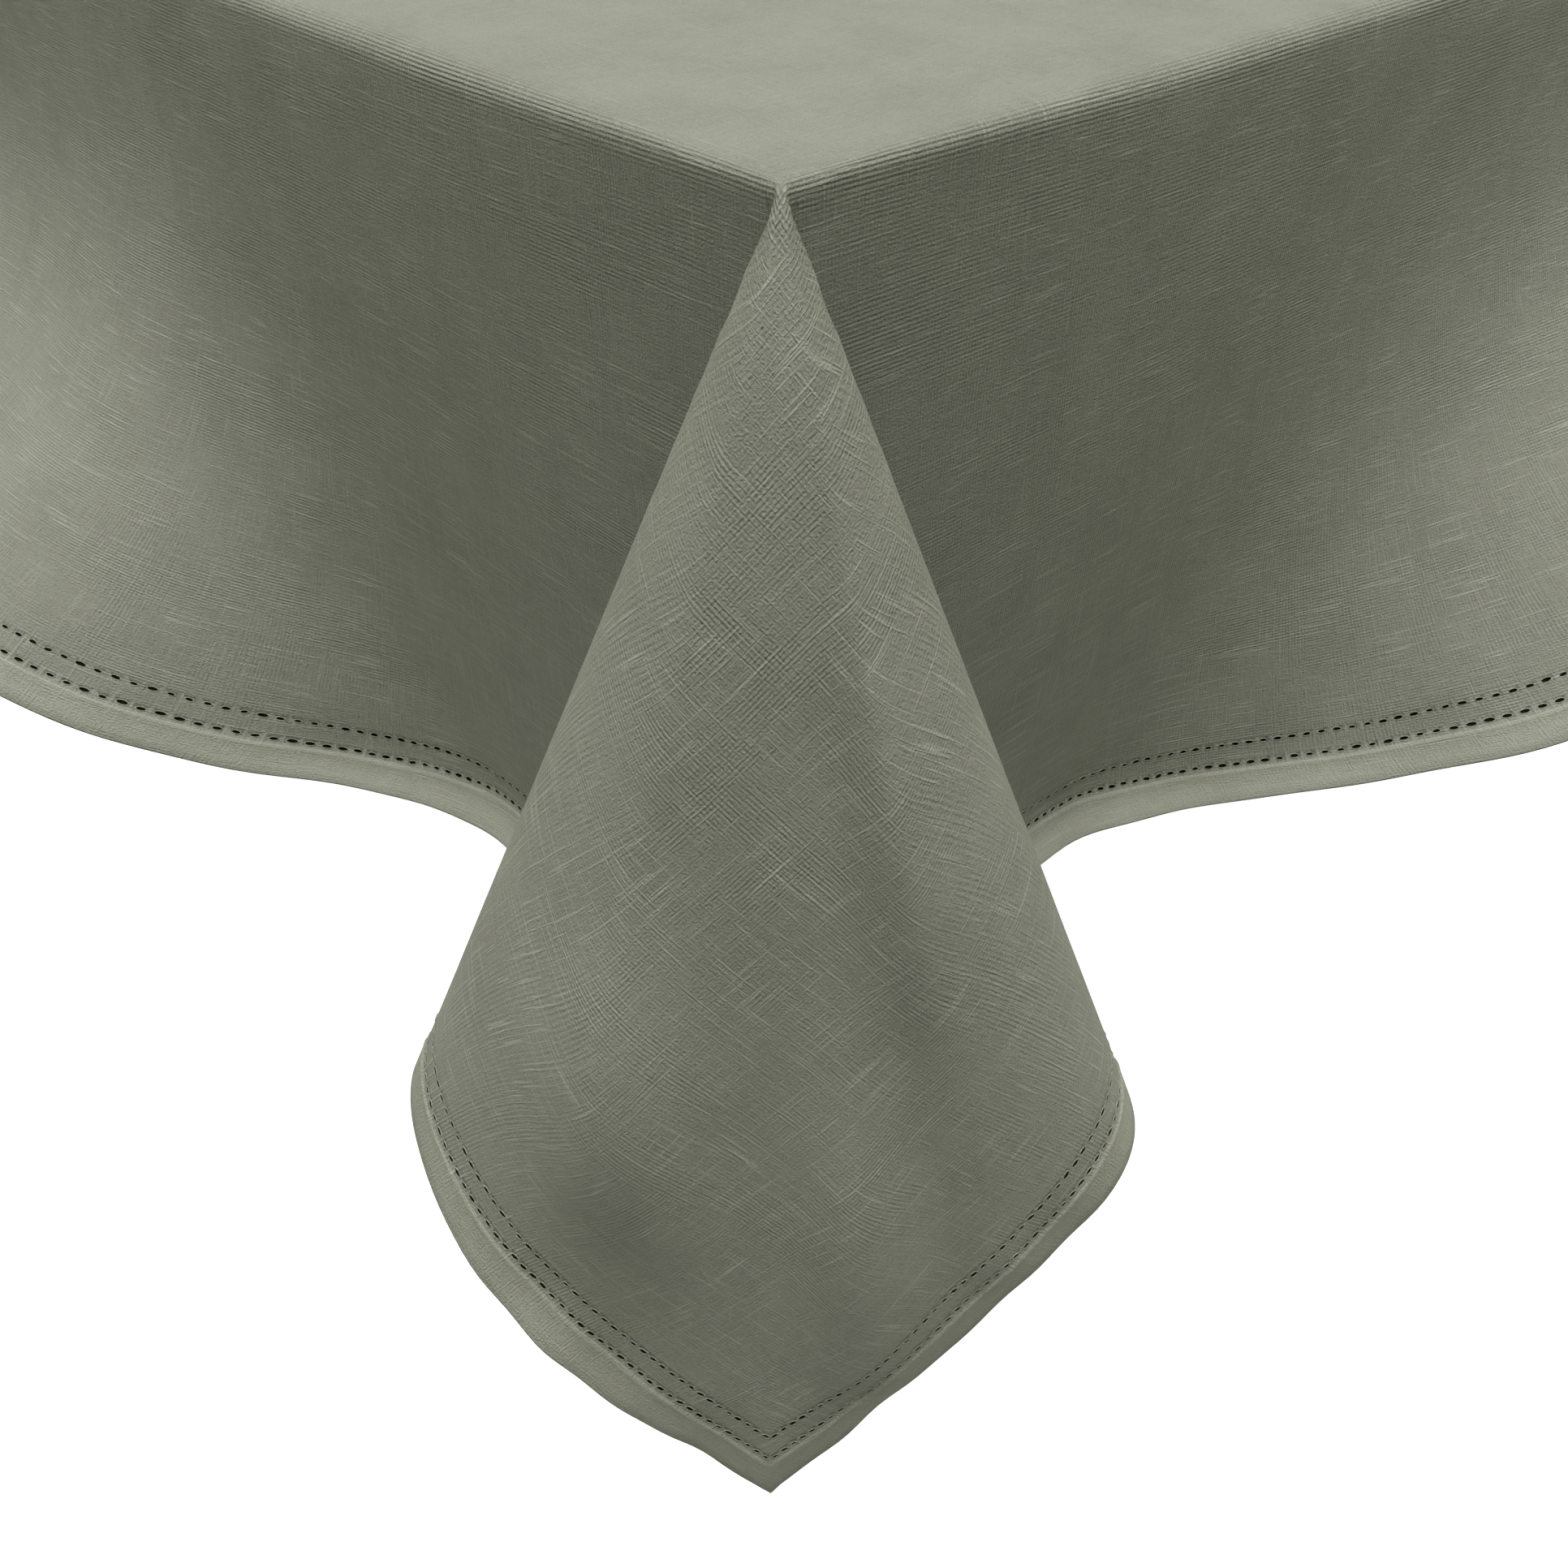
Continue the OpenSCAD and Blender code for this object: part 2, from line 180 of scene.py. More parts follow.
# Each half of a corner has its own fold, the two handles of the curve that leads from it to the tip, how far
# its hem curls outwards at the tip, half way and at the fold, and where it begins along the small waves. The
# swells are soft bulges of its face: (across, half width, share of the length, half height, how far out).
FULL_HALF = {
    "fold": (-0.394, 0.044),
    "handles": ((-0.389, 0.144), (-0.234, 0.250)),
    "curl": (-0.0010, 0.0088, 0.0),
    "ripple": 0.033,
    "swells": ((-0.20, 0.19, 0.66, 0.22, 0.0120),),
}
FLAT_HALF = {
    "fold": (-0.3700, 0.026),
    "handles": ((-0.382, 0.148), (-0.168, 0.192)),
    "curl": (-0.0018, -0.0037, 0.0044),
    "ripple": 0.054,
    "swells": ((-0.22, 0.13, 0.42, 0.28, 0.0070), (-0.09, 0.09, 0.76, 0.28, 0.0095)),
}
FOLD_BEND = 0.012  # how round the fold is
FOLD_DEGREES = 19  # the fold's place on the flat cloth, as an angle from the side
FRONT_POINTS, TURN_POINTS, BACK_POINTS = 60, 12, 20  # the curve's points in front, round the fold and behind
BELLY, SHOULDER = 0.016, 0.015  # how far a corner's face bows outwards half way down, and close to the table
SHOULDER_REACH = 0.08  # how far down the shoulder is, as a share of the length
CURL_RISE = 0.25  # how much a curled hem rises for what it moves out
# Over a corner, in degrees from the side: where the front face and the hem's curl come in, and over how many.
FACE_FROM, FACE_OVER = 17, 16
CURL_IN_FROM, CURL_IN_OVER = 12, 8
STILL_TIP = 5  # the small waves die out this many degrees from the tip
NEAR_BEND = 18  # the bend over the nearer edge comes in over this many degrees
# Each corner's halves, the one by the long side first. The other two corners have them the other way round.
CORNERS = {(1, -1): (FULL_HALF, FLAT_HALF), (-1, 1): (FULL_HALF, FLAT_HALF)}
OTHER_CORNER = (FLAT_HALF, FULL_HALF)


def corner_path(half):
    """Angles on the flat cloth, from the side (0) to the corner's middle (45 degrees), and the directions
    there as rows of (across, out)."""
    start = np.array([CORNER_SHIFT, CORNER_SHIFT]) / math.sqrt(2)
    fold, (first, second), tip = np.array(half["fold"]), half["handles"], np.array(TIP)
    u = np.linspace(0, 1, FRONT_POINTS)[:, None]
    front = (1 - u) ** 3 * fold + 3 * (1 - u) ** 2 * u * first + 3 * (1 - u) * u**2 * second + u**3 * tip
    low = fold + np.array([FOLD_BEND, -FOLD_BEND])
    v = np.linspace(0, 1, TURN_POINTS)[:, None]
    turn = (1 - v) ** 2 * low + 2 * v * (1 - v) * (fold + np.array([0, -FOLD_BEND])) + v**2 * fold
    back = start + (low - start) * np.linspace(0, 1, BACK_POINTS)[:, None]
    path = np.concatenate([back[:-1], turn[:-1], front])
    full = np.column_stack([path, np.sqrt(1 - (path**2).sum(1))])
    length = np.concatenate([[0], np.cumsum(np.linalg.norm(np.diff(full, axis=0), axis=1))])
    at_fold = length[len(path) - FRONT_POINTS]
    front_angle = math.pi / 4 - (length[-1] - length)
    back_angle = length / at_fold * (math.pi / 4 - (length[-1] - at_fold))
    return np.where(length < at_fold, back_angle, front_angle), path


PATHS = {id(half): corner_path(half) for half in (FULL_HALF, FLAT_HALF)}


def corner(x, y, halves):
    """(outwards over X, outwards over Y, downwards) of points of a corner square, from what it hangs from."""
    out = np.zeros((len(x), 3))
    sides = ((halves[0], x <= y, y, x, (0, 1)), (halves[1], x > y, x, y, (1, 0)))
    for half, on, far, near, columns in sides:
        far, near = far[on], near[on]
        angle = np.arctan2(near, far)
        degrees = np.degrees(angle)
        angles, path = PATHS[id(half)]
        across = np.interp(angle, angles, path[:, 0])
        outward = np.interp(angle, angles, path[:, 1])
        length = np.hypot(far, near)
        radius = BEND_AT_CORNER
        turn = np.minimum(length / radius, math.pi / 2)
        straight = length - radius * (math.pi / 2 - 1)
        below = np.where(turn < math.pi / 2, radius * (1 - np.cos(turn)), straight)
        low = np.sqrt(1 - across**2 - outward**2)
        share = np.clip(length / (DROP / np.cos(angle)), 0, 1)
        front = smooth((degrees - FACE_FROM) / FACE_OVER)
        tip, middle, fold = half["curl"]
        t = np.clip((degrees - FOLD_DEGREES) / (45 - FOLD_DEGREES), 0, 1)
        by_tip, by_fold = smooth(2 * t - 1), smooth(2 * t)
        curl = np.where(t > 0.5, middle + (tip - middle) * by_tip, fold + (middle - fold) * by_fold)
        edge = np.clip((far - (DROP - APEX - CURL_FROM)) / CURL_FROM, 0, 1)
        bow = BELLY * 4 * share * (1 - share)
        bow += SHOULDER * (1 - np.exp(-share / SHOULDER_REACH)) * (1 - share)
        for centre, width, at_share, reach, height in half["swells"]:
            bow += height * bump(across, centre, width) * bump(share, at_share, reach)
        bow = bow * front + curl * edge**2 * smooth((degrees - CURL_IN_FROM) / CURL_IN_OVER)
        rippled = smooth((far - DROP + APEX + RIPPLE_REACH) / RIPPLE_REACH)
        rippled *= smooth((45 - degrees) / STILL_TIP)
        bow += RIPPLE_HEIGHT * rippled * front * ripple(near + half["ripple"])
        over_near = below * (across + outward) / math.sqrt(2) + bow / math.sqrt(2)
        over_far = below * (outward - across) / math.sqrt(2) + bow / math.sqrt(2)
        over_near += radius * np.sin(turn) * smooth(degrees / NEAR_BEND)
        over_far += radius * np.sin(turn)
        rise = curl * edge**2 * CURL_RISE
        out[np.ix_(on, columns)] = np.column_stack([over_near, over_far])
        out[on, 2] = below * low - rise
    return out[:, 0], out[:, 1], out[:, 2]


def drape(p, q):
    """Where the flat cloth's point (p, q) hangs."""
    side_x, side_y = np.where(p < 0, -1.0, 1.0), np.where(q < 0, -1.0, 1.0)
    x, y = np.abs(p) - HALF_X, np.abs(q) - HALF_Y
    out = np.stack([p, q, np.full_like(p, CLOTH_Z)], 1).astype(float)
    for over, beside, axis in ((y, x, 1), (x, y, 0)):
        other = 1 - axis
        sign, side = (side_y, side_x) if axis == 1 else (side_x, side_y)
        half = HALF_Y if axis == 1 else HALF_X
        on = (over > 0) & (beside <= APEX) & ((over >= beside) | (axis == 0))
        along, d = (p if axis == 1 else q)[on], over[on]
        length = HALF_X if axis == 1 else HALF_Y
        from_middle = np.where(np.abs(along) < MIDDLE, (along**2 / MIDDLE + MIDDLE) / 2, np.abs(along))
        s = length + APEX - from_middle
        # The last two terms start each side's folds at a different place.
        along = along - LEAN * d * along / length + 3.1 * axis + 0.7 * sign[on]
        outward, down = hang(s, d, along, FULL_SIDE if axis == 1 else FLAT_SIDE)
        out[on, axis] = sign[on] * (half + outward)
        out[on, other] += side[on] * CORNER_SHIFT * down * (1 - smooth(s / SHIFT_REACH))
        out[on, 2] = CLOTH_Z - down
    for sx in (-1, 1):
        for sy in (-1, 1):
            on = (x > APEX) & (y > APEX) & (side_x == sx) & (side_y == sy)
            cx, cy, down = corner(x[on] - APEX, y[on] - APEX, CORNERS.get((sx, sy), OTHER_CORNER))
            out[on, 0] = sx * (HALF_X + APEX + cx)
            out[on, 1] = sy * (HALF_Y + APEX + cy)
            out[on, 2] = CLOTH_Z - down
    return out


def place(points):
    """Carries (p, q, lift) to where they hang, lift being off the cloth's outer face."""
    p, q, lift = points.T
    step = 2e-5  # for the cloth's own directions there
    at = drape(p, q)
    along = drape(p + step, q) - drape(p - step, q)
    up = drape(p, q + step) - drape(p, q - step)
    normal = np.cross(along, up)
    normal /= np.maximum(np.linalg.norm(normal, axis=1), 1e-12)[:, None]
    return at + normal * lift[:, None]


# ---- The flat cloth, as cells ----


class Flat:
    """Points and faces on the flat cloth. A point is (p, q, lift), and points at one place are shared."""

    def __init__(self):
        self.index, self.points, self.faces, self.kinds = {}, [], [], []

    def point(self, p, q, lift=0.0):
        key = (round(p * 2e6), round(q * 2e6), round(lift * 1e6))
        if key not in self.index:
            self.index[key] = len(self.points)
            self.points.append((p, q, lift))
        return self.index[key]

    def face(self, corners, kind=0):
        found = [self.point(*c) for c in corners]
        found = [a for a, b in zip(found, found[1:] + found[:1]) if a != b]
        if len(set(found)) > 2:
            self.faces.append(found)
            self.kinds.append(kind)


FOLD_AT = math.tan(math.radians(FOLD_DEGREES))  # the folds' place on the flat cloth, as x / y
FINE_WIDTH, FINE_PARTS = 0.2, 3  # round a fold each cell is split into this many, over this width of x / y
COARSE = 18  # rows of large cells from the bend to the fine rows
RING = 10  # points round a hole


def side_columns(half):
    """Places along a side from one bend line to the other, an even number of cells apart."""
    n = 2 * round(half / PITCH)
    return np.linspace(-half, half, n + 1)


def corner_columns():
    """x / y from 0 to 1 over half a corner, close together round the fold, with the cells' own steps."""
    n = round(DROP / PITCH)
    cells = [i / n for i in range(n + 1)]
    columns, is_cell = [], []
    for a, b in zip(cells, cells[1:]):
        k = FINE_PARTS if abs((a + b) / 2 - FOLD_AT) < FINE_WIDTH / 2 else 1
        for j in range(k):
            columns.append(a + (b - a) * j / k)
            is_cell.append(j == 0)
    return columns + [1.0], is_cell + [True]


TOP_OF_ROWS = DROP - HEM - FINE_ROWS * ROW
BEND_LINES = [BEND * math.pi / 2 * i / 5 for i in range(6)]
SIDE_LINES = BEND_LINES + [
    BEND_LINES[-1] + (TOP_OF_ROWS - BEND_LINES[-1]) * (i + 1) / COARSE for i in range(COARSE)
]
ROW_LINES = [DROP - HEM - i * ROW for i in range(FINE_ROWS, -1, -1)]
# The hem's lines down its face, round its edge and up its back: (depth, lift). Its sewn edge is a low ridge.
HEM_LINES = (
    [(DROP - HEM, 0.0)]
    + [(DROP - HEM + HEM_ROUND * f, HEM_LIFT * lift) for f, lift in ((1, 1.5), (3, 1.1))]
    + [(DROP - HEM + (HEM - HEM_ROUND) * f, HEM_LIFT) for f in (0.4, 0.7, 1.0)]
    + [(DROP, 0.0)]
    + [(DROP - HEM_ROUND - (HEM - HEM_ROUND) * f, -HEM_LIFT) for f in (0.0, 0.5, 0.94)]
)


def hole_ring(centre, axis, across, size, grow=0.0):
    """The points round a hole. axis and across are unit vectors along and over the hole."""
    return [
        centre
        + axis * (HOLE_LONG * size + grow) * math.cos(2 * math.pi * k / RING)
        + across * (HOLE_HIGH * size + grow) * math.sin(2 * math.pi * k / RING)
        for k in range(RING)
    ]


def strip(flat, holes, to_cloth, columns, is_cell, fan):
    """Fills one stretch from the bend line to the hem. columns are places along it: a plain distance, or
    x / y where fan is true. to_cloth turns (along, depth) into (p, q)."""

    def at(c, depth, lift=0.0):
        return (*to_cloth(c * depth if fan else c, depth), lift)

    cells = [i for i, c in enumerate(is_cell) if c]
    coarse = range(len(columns)) if fan else cells[::2]
    for top, low in zip(SIDE_LINES, SIDE_LINES[1:]):
        last = low == SIDE_LINES[-1]
        for i, j in zip(coarse, coarse[1:]):
            lower = range(j, i - 1, -1) if last else (j, i)
            flat.face([at(columns[i], top), at(columns[j], top)] + [at(columns[k], low) for k in lower])
    for r, (top, low) in enumerate(zip(ROW_LINES, ROW_LINES[1:])):
        if FINE_ROWS - 1 - r in STITCH_ROWS:
            for i, j in zip(cells, cells[1:]):
                stitched_cell(flat, holes, at, columns[i : j + 1], top, low)
        else:
            for a, b in zip(columns, columns[1:]):
                flat.face([at(a, top), at(b, top), at(b, low), at(a, low)])
    for (top, lift_a), (low, lift_b) in zip(HEM_LINES, HEM_LINES[1:]):
        for a, b in zip(columns, columns[1:]):
            flat.face([at(a, top, lift_a), at(b, top, lift_a), at(b, low, lift_b), at(a, low, lift_b)], 1)


def stitched_cell(flat, holes, at, columns, top, low):
    """A cell with a hole in it: four faces between the cell's border and the hole's ring."""
    centre = np.array(at((columns[0] + columns[-1]) / 2, (top + low) / 2)[:2])
    right = np.array(at(columns[-1], low)[:2]) - np.array(at(columns[0], low)[:2])
    axis = right / np.linalg.norm(right)
    across = np.array([-axis[1], axis[0]])
    if across @ (np.array(at(columns[0], top)[:2]) - np.array(at(columns[0], low)[:2])) < 0:
        across = -across
    size, turn = chance.uniform(*HOLE_SIZES), chance.normal(0, HOLE_TURN)
    axis, across = (
        axis * math.cos(turn) + across * math.sin(turn),
        across * math.cos(turn) - axis * math.sin(turn),
    )
    centre = centre + across * chance.normal(0, HOLE_SHIFT)
    ring = [(x, y, 0.0) for x, y in hole_ring(centre, axis, across, size)]
    lower = [at(c, low) for c in columns]
    upper = [at(c, top) for c in columns]
    # Ring points 1 to 4 face up the cloth and 6 to 9 down it; 0 and 5 are the hole's ends.
    flat.face(upper + [ring[1], ring[2], ring[3], ring[4]])
    flat.face([upper[-1], lower[-1], ring[9], ring[0], ring[1]])
    flat.face(lower[::-1] + [ring[6], ring[7], ring[8], ring[9]])
    flat.face([lower[0], upper[0], ring[4], ring[5], ring[6]])
    # The hole is closed by a shallow pit whose walls and foot carry the painted hole shade.
    deep = [(x, y, -HOLE_DEPTH) for x, y in hole_ring(centre, axis, across, size, -HOLE_TAPER)]
    for k in range(RING):
        flat.face([ring[k], ring[(k + 1) % RING], deep[(k + 1) % RING], deep[k]], 2)
    flat.face(deep, 2)
    holes.append((centre, axis, across, size))


def cut_cloth():
    """The whole flat cloth, and where its holes are."""
    flat, holes = Flat(), []
    long_side, short_side = side_columns(HALF_X), side_columns(HALF_Y)
    xs, ys = long_side[::2], short_side[::2]
    for i in range(len(xs) - 1):
        for j in range(len(ys) - 1):
            flat.face([(xs[a], ys[b], 0.0) for a, b in ((i, j), (i + 1, j), (i + 1, j + 1), (i, j + 1))])
    for sign in (-1, 1):
        strip(flat, holes, lambda c, d: (c, sign * (HALF_Y + d)), long_side, [True] * len(long_side), False)
        strip(flat, holes, lambda c, d: (sign * (HALF_X + d), c), short_side, [True] * len(short_side), False)
    columns, is_cell = corner_columns()
    for sx in (-1, 1):
        for sy in (-1, 1):
            strip(flat, holes, lambda c, d: (sx * (HALF_X + c), sy * (HALF_Y + d)), columns, is_cell, True)
            strip(flat, holes, lambda c, d: (sx * (HALF_X + d), sy * (HALF_Y + c)), columns, is_cell, True)
    return flat, holes


def mesh_object(name, points, faces, uv, kinds=None):
    """A smooth-shaded mesh. uv is each point's place on the flat cloth, and kinds each face's material."""
    mesh = bpy.data.meshes.new(name)
    mesh.from_pydata(points.tolist(), [], faces)
    layer = mesh.uv_layers.new(name="flat")
    corners = np.empty(len(mesh.loops), dtype=np.int32)
    mesh.loops.foreach_get("vertex_index", corners)
    layer.data.foreach_set("uv", uv[corners].astype(np.float32).ravel())
    if kinds is not None:
        mesh.polygons.foreach_set("material_index", np.array(kinds, dtype=np.int32))
    mesh.polygons.foreach_set("use_smooth", np.ones(len(mesh.polygons), dtype=bool))
    obj = bpy.data.objects.new(name, mesh)
    bpy.context.scene.collection.objects.link(obj)
    return obj


def face_out(obj):
    """Makes all faces point the same way, upwards on the table."""
    bm = bmesh.new()
    bm.from_mesh(obj.data)
    bmesh.ops.recalc_face_normals(bm, faces=bm.faces)
    top = max(bm.faces, key=lambda f: f.calc_center_median().z - 10 * f.calc_center_median().to_2d().length)
    if top.normal.z < 0:
        bmesh.ops.reverse_faces(bm, faces=bm.faces)
    bm.to_mesh(obj.data)
    bm.free()


# The thread round a hole, across its width: (how far from the hole's edge, how far off the cloth)
THREAD_PROFILE = ((0.00002, -0.0001), (0.00022, 0.0003), (0.00050, -0.00005))


def stitching(holes):
    """The thread round every hole: a low ring whose crest stands off the cloth."""
    points, faces = [], []
    for centre, axis, across, size in holes:
        first = len(points)
        for grow, lift in THREAD_PROFILE:
            points += [(x, y, lift) for x, y in hole_ring(centre, axis, across, size, grow)]
        flip = axis[0] * across[1] - axis[1] * across[0] < 0
        for r in range(len(THREAD_PROFILE) - 1):
            for k in range(RING):
                a, b = first + RING * r + k, first + RING * r + (k + 1) % RING
                quad = [a + RING, b + RING, b, a]
                faces.append(quad[::-1] if flip else quad)
    return np.array(points), faces


chance = np.random.default_rng(7)
flat, holes = cut_cloth()
flat_points = np.array(flat.points)
cloth = mesh_object("tablecloth", place(flat_points), flat.faces, flat_points[:, :2], flat.kinds)
face_out(cloth)
ring_points, ring_faces = stitching(holes)
thread = mesh_object("hemstitch_thread", place(ring_points), ring_faces, ring_points[:, :2])

# ---- Materials ----


class Nodes:
    """A material's node tree, with short calls for the nodes used here."""

    def __init__(self, name):
        self.material = bpy.data.materials.new(name)
        self.material.use_nodes = True
        self.tree = self.material.node_tree
        self.shader = self.tree.nodes["Principled BSDF"]

    def node(self, kind, **values):
        made = self.tree.nodes.new("ShaderNode" + kind)
        for key, value in values.items():
            setattr(made, key, value)
        return made

    def put(self, socket, value):
        """Links another node's output to a socket, or sets the socket's number or colour."""
        if isinstance(value, bpy.types.NodeSocket):
            self.tree.links.new(value, socket)
        else:
            socket.default_value = value

    def math(self, operation, a, b=0.0):
        made = self.node("Math", operation=operation)
        for socket, value in zip(made.inputs, (a, b)):
            self.put(socket, value)
        return made.outputs[0]

    def scaled(self, vector, scale, shift=(0, 0, 0)):
        """Places stretched by a scale. A shift keeps one noise from matching another."""
        made = self.node("Mapping")
        self.put(made.inputs["Vector"], vector)
        made.inputs["Scale"].default_value = scale
        made.inputs["Location"].default_value = shift
        return made.outputs[0]

    def noise(self, vector, detail=2.0, roughness=0.5, distortion=0.0):
        made = self.node("TexNoise")
        self.put(made.inputs["Vector"], vector)
        made.inputs["Scale"].default_value = 1.0
        made.inputs["Detail"].default_value = detail
        made.inputs["Roughness"].default_value = roughness
        made.inputs["Distortion"].default_value = distortion
        return made.outputs["Fac"]

    def between(self, value, low, high, to_low=0.0, to_high=1.0):
        """A soft step from to_low to to_high as the value goes from low to high."""
        made = self.node("MapRange", interpolation_type="SMOOTHSTEP")
        for socket, v in zip(made.inputs, (value, low, high, to_low, to_high)):
            self.put(socket, v)
        return made.outputs[0]

    def mix(self, factor, a, b):
        made = self.node("Mix", data_type="RGBA")
        enabled = {socket.name: socket for socket in made.inputs if socket.enabled}
        for name, value in (("Factor", factor), ("A", a), ("B", b)):
            self.put(enabled[name], value)
        return [s for s in made.outputs if s.enabled][0]

    def bump(self, height, distance, strength=1.0):
        made = self.node("Bump")
        self.put(made.inputs["Height"], height)
        made.inputs["Distance"].default_value = distance
        made.inputs["Strength"].default_value = strength
        self.put(self.shader.inputs["Normal"], made.outputs[0])


LINEN = (0.326, 0.334, 0.280)
LINEN_PALE = (0.50, 0.51, 0.44)  # the slubs
LINEN_DEEP_AND_SHADE = (0.240, 0.246, 0.202)  # the dark tone: the yarns' own uneven tone and painted shade between the yarns
YARN = 0.00125  # one thick thread to the next


def threads(i, across, along):
    """A scale for noise that is fine across the threads and long along them. They run along Y where i is 0,
    and along X where it is 1."""
    return (across, along, 1) if i == 0 else (along, across, 1)


def linen(name, lightness=1.0, slubbed=1.0):
    """Plain weave with slubs: single thick threads that run a few centimetres along either direction."""
    n = Nodes(name)
    uv = n.node("UVMap", uv_map="flat").outputs[0]
    split = n.node("SeparateXYZ")
    n.put(split.inputs[0], uv)
    from_middle = [n.math("ABSOLUTE", split.outputs[i]) for i in (0, 1)]
    # How far past the bend lines, over X and over Y.
    past = [n.math("SUBTRACT", from_middle[i], (HALF_X, HALF_Y)[i]) for i in (0, 1)]
    yarns, slubs, ribs = [], [], []
    for i in (0, 1):
        drift = n.noise(n.scaled(uv, threads(i, 35, 10), (9, 2, 0)), 1.0)
        even = n.math("MULTIPLY", split.outputs[i], 2 * math.pi / YARN)
        phase = n.math("ADD", even, n.math("MULTIPLY", drift, 9))
        # Ribs of thick threads come and go in patches, and show all along the table's edges.
        patch = n.noise(n.scaled(uv, threads(i, 40, 14), (1, 4, 0)), 2.0)
        from_edge = n.math("SUBTRACT", from_middle[i], (HALF_X, HALF_Y)[i] + BEND * 0.8)
        at_edge = n.between(n.math("ABSOLUTE", from_edge), 0.004, 0.010, 1.1, 0.0)
        ribbed = n.math("ADD", n.between(patch, 0.42, 0.64, 0.15, 0.9), at_edge)
        ribs.append(n.math("MULTIPLY", n.math("SINE", phase), ribbed))
        yarns.append(n.noise(n.scaled(uv, threads(i, 1900, 120)), 2.0, 0.7))
        slub = n.noise(n.scaled(uv, threads(i, 1350, 34), (3, 7, 0)), 1.0, 0.5)
        patch = n.noise(n.scaled(uv, threads(i, 34, 18), (5, 1, 0)), 2.0)
        # The threads that run down a side show less than those along its hem.
        down_side = n.math("SUBTRACT", n.between(past[1 - i], 0, 0.03), n.between(past[i], -0.02, 0.01))
        in_patch = n.between(patch, 0.32, 0.62, 0.25, 1.0)
        shown = n.math("MULTIPLY", in_patch, n.between(down_side, 0, 1, 1.0, 0.45))
        slubs.append(n.math("MULTIPLY", n.between(slub, 0.585, 0.66), shown))
    yarn = n.math("MULTIPLY", n.math("ADD", yarns[0], yarns[1]), 0.5)
    rib = n.math("ADD", ribs[0], ribs[1])
    hanging = n.between(n.math("MAXIMUM", past[0], past[1]), -0.004, 0.012, 0.2, 1.0)
    slub = n.math("MULTIPLY", n.math("MAXIMUM", slubs[0], slubs[1]), n.math("MULTIPLY", hanging, slubbed))
    grain = n.noise(n.scaled(uv, (1500, 1500, 1)), 2.0, 0.65)
    cloud = n.noise(n.scaled(uv, (30, 30, 1)), 3.0)
    tone = n.math("ADD", n.math("MULTIPLY", yarn, 0.45), n.math("MULTIPLY", grain, 0.35))
    tone = n.math("ADD", tone, n.math("MULTIPLY", cloud, 0.20))
    deep, middle, pale = (
        tuple(c * lightness for c in rgb) + (1,) for rgb in (LINEN_DEEP_AND_SHADE, LINEN, LINEN_PALE)
    )
    # Darker where the yarn and grain noises are low, as are the bump's hollows: partly the yarns' own tone,
    # partly painted shade.
    ground = n.mix(n.between(tone, 0.34, 0.60), deep, middle)
    n.put(n.shader.inputs["Base Color"], n.mix(n.math("MULTIPLY", slub, 0.58), ground, pale))
    n.put(n.shader.inputs["Roughness"], n.between(tone, 0.3, 0.7, 0.95, 0.8))
    n.shader.inputs["Specular IOR Level"].default_value = 0.12
    n.shader.inputs["Sheen Weight"].default_value = 0.16
    n.shader.inputs["Sheen Roughness"].default_value = 0.5
    n.shader.inputs["Sheen Tint"].default_value = (0.72, 0.76, 0.56, 1)
    height = n.math("ADD", n.math("MULTIPLY", yarn, 1.1), n.math("MULTIPLY", slub, 0.35))
    height = n.math("ADD", height, n.math("MULTIPLY", rib, 0.15 * slubbed))
    n.bump(n.math("ADD", height, grain), 0.0006, 0.9)
    return n.material


def shade(name):
    """Painted shade: the near-black walls and foot of each hole's shallow pit, where the real hole is open.
    """
    n = Nodes(name)
    uv = n.node("UVMap", uv_map="flat").outputs[0]
    fibre = n.noise(n.scaled(uv, (900, 900, 1)))
    n.put(n.shader.inputs["Base Color"], n.mix(fibre, (0.008, 0.008, 0.006, 1), (0.02, 0.02, 0.015, 1)))
    n.shader.inputs["Roughness"].default_value = 1.0
    n.shader.inputs["Specular IOR Level"].default_value = 0.0
    return n.material


def oak(name):
    """Oiled oak: long grain along X, with pores."""
    n = Nodes(name)
    at = n.node("TexCoord").outputs["Object"]
    grain = n.noise(n.scaled(at, (3, 40, 40)), 5.0, 0.6, 0.6)
    pores = n.between(n.noise(n.scaled(at, (25, 900, 900)), 2.0), 0.60, 0.72)
    colour = n.mix(n.between(grain, 0.3, 0.7), (0.36, 0.215, 0.115, 1), (0.52, 0.345, 0.20, 1))
    colour = n.mix(n.math("MULTIPLY", pores, 0.5), colour, (0.20, 0.11, 0.055, 1))
    n.put(n.shader.inputs["Base Color"], colour)
    n.put(n.shader.inputs["Roughness"], n.between(grain, 0.2, 0.8, 0.5, 0.38))
    n.bump(n.math("SUBTRACT", grain, n.math("MULTIPLY", pores, 0.6)), 0.0004, 0.5)
    return n.material


def metal(name):
    """Zinc-plated steel."""
    n = Nodes(name)
    at = n.node("TexCoord").outputs["Object"]
    wear = n.noise(n.scaled(at, (300, 300, 300)), 4.0)
    n.put(n.shader.inputs["Base Color"], n.mix(wear, (0.48, 0.49, 0.50, 1), (0.72, 0.73, 0.74, 1)))
    n.shader.inputs["Metallic"].default_value = 1.0
    n.put(n.shader.inputs["Roughness"], n.between(wear, 0.3, 0.7, 0.28, 0.5))
    return n.material


